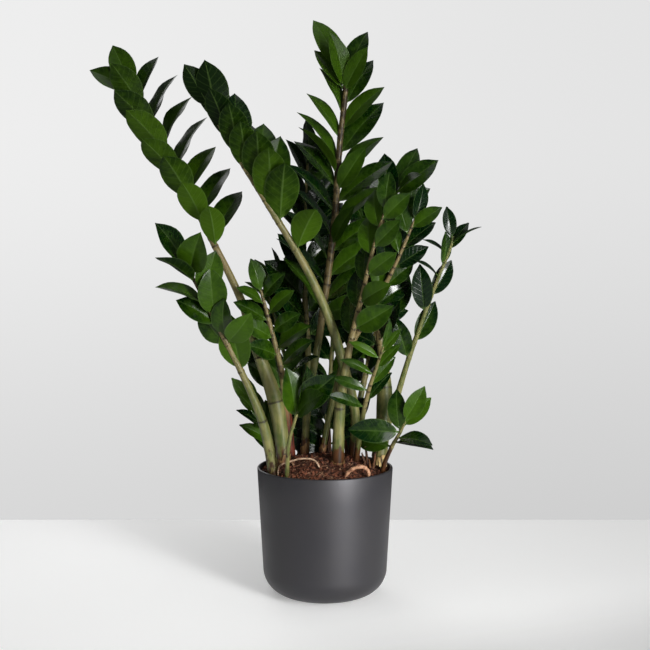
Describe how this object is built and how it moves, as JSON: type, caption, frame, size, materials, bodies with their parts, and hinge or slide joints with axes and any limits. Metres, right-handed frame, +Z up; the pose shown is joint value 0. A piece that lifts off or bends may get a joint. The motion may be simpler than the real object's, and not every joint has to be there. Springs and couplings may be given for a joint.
{
  "type": "potted zz plant",
  "caption": "Potted zz plant: tall arching fronds of glossy leaflets standing in mounded soil in a tapered round pot with a soft lower edge.",
  "frame": {"origin": "centre of the pot's flat underside, which rests on the floor", "axes": "+Z up along the pot's axis, -Y towards the front of the plant, +X to the right seen from the front"},
  "size_m": [0.6798, 0.411, 1.016],
  "materials": {
    "pot": "satin",
    "soil": "matte",
    "root": "matte",
    "foliage": "satin"
  },
  "bodies": {
    "root": {"root_loop": "root", "root_thin": "root", "pot": "pot", "soil": "soil", "frond_far_left": "foliage", "frond_low_left": "foliage", "frond_tall_left": "foliage", "frond_centre": "foliage", "frond_dark_back": "foliage", "frond_slim_right": "foliage", "frond_front_centre": "foliage", "frond_thick_right": "foliage", "frond_far_right": "foliage", "frond_slim_front": "foliage", "shoot_low_right": "foliage", "shoot_low_left": "foliage", "shoot_front_left": "foliage", "frond_left_centre": "foliage", "frond_back_left": "foliage", "frond_back_right": "foliage", "frond_back_slim": "foliage", "frond_back_pale": "foliage", "shoot_low_back": "foliage"}
  },
  "joints": []
}
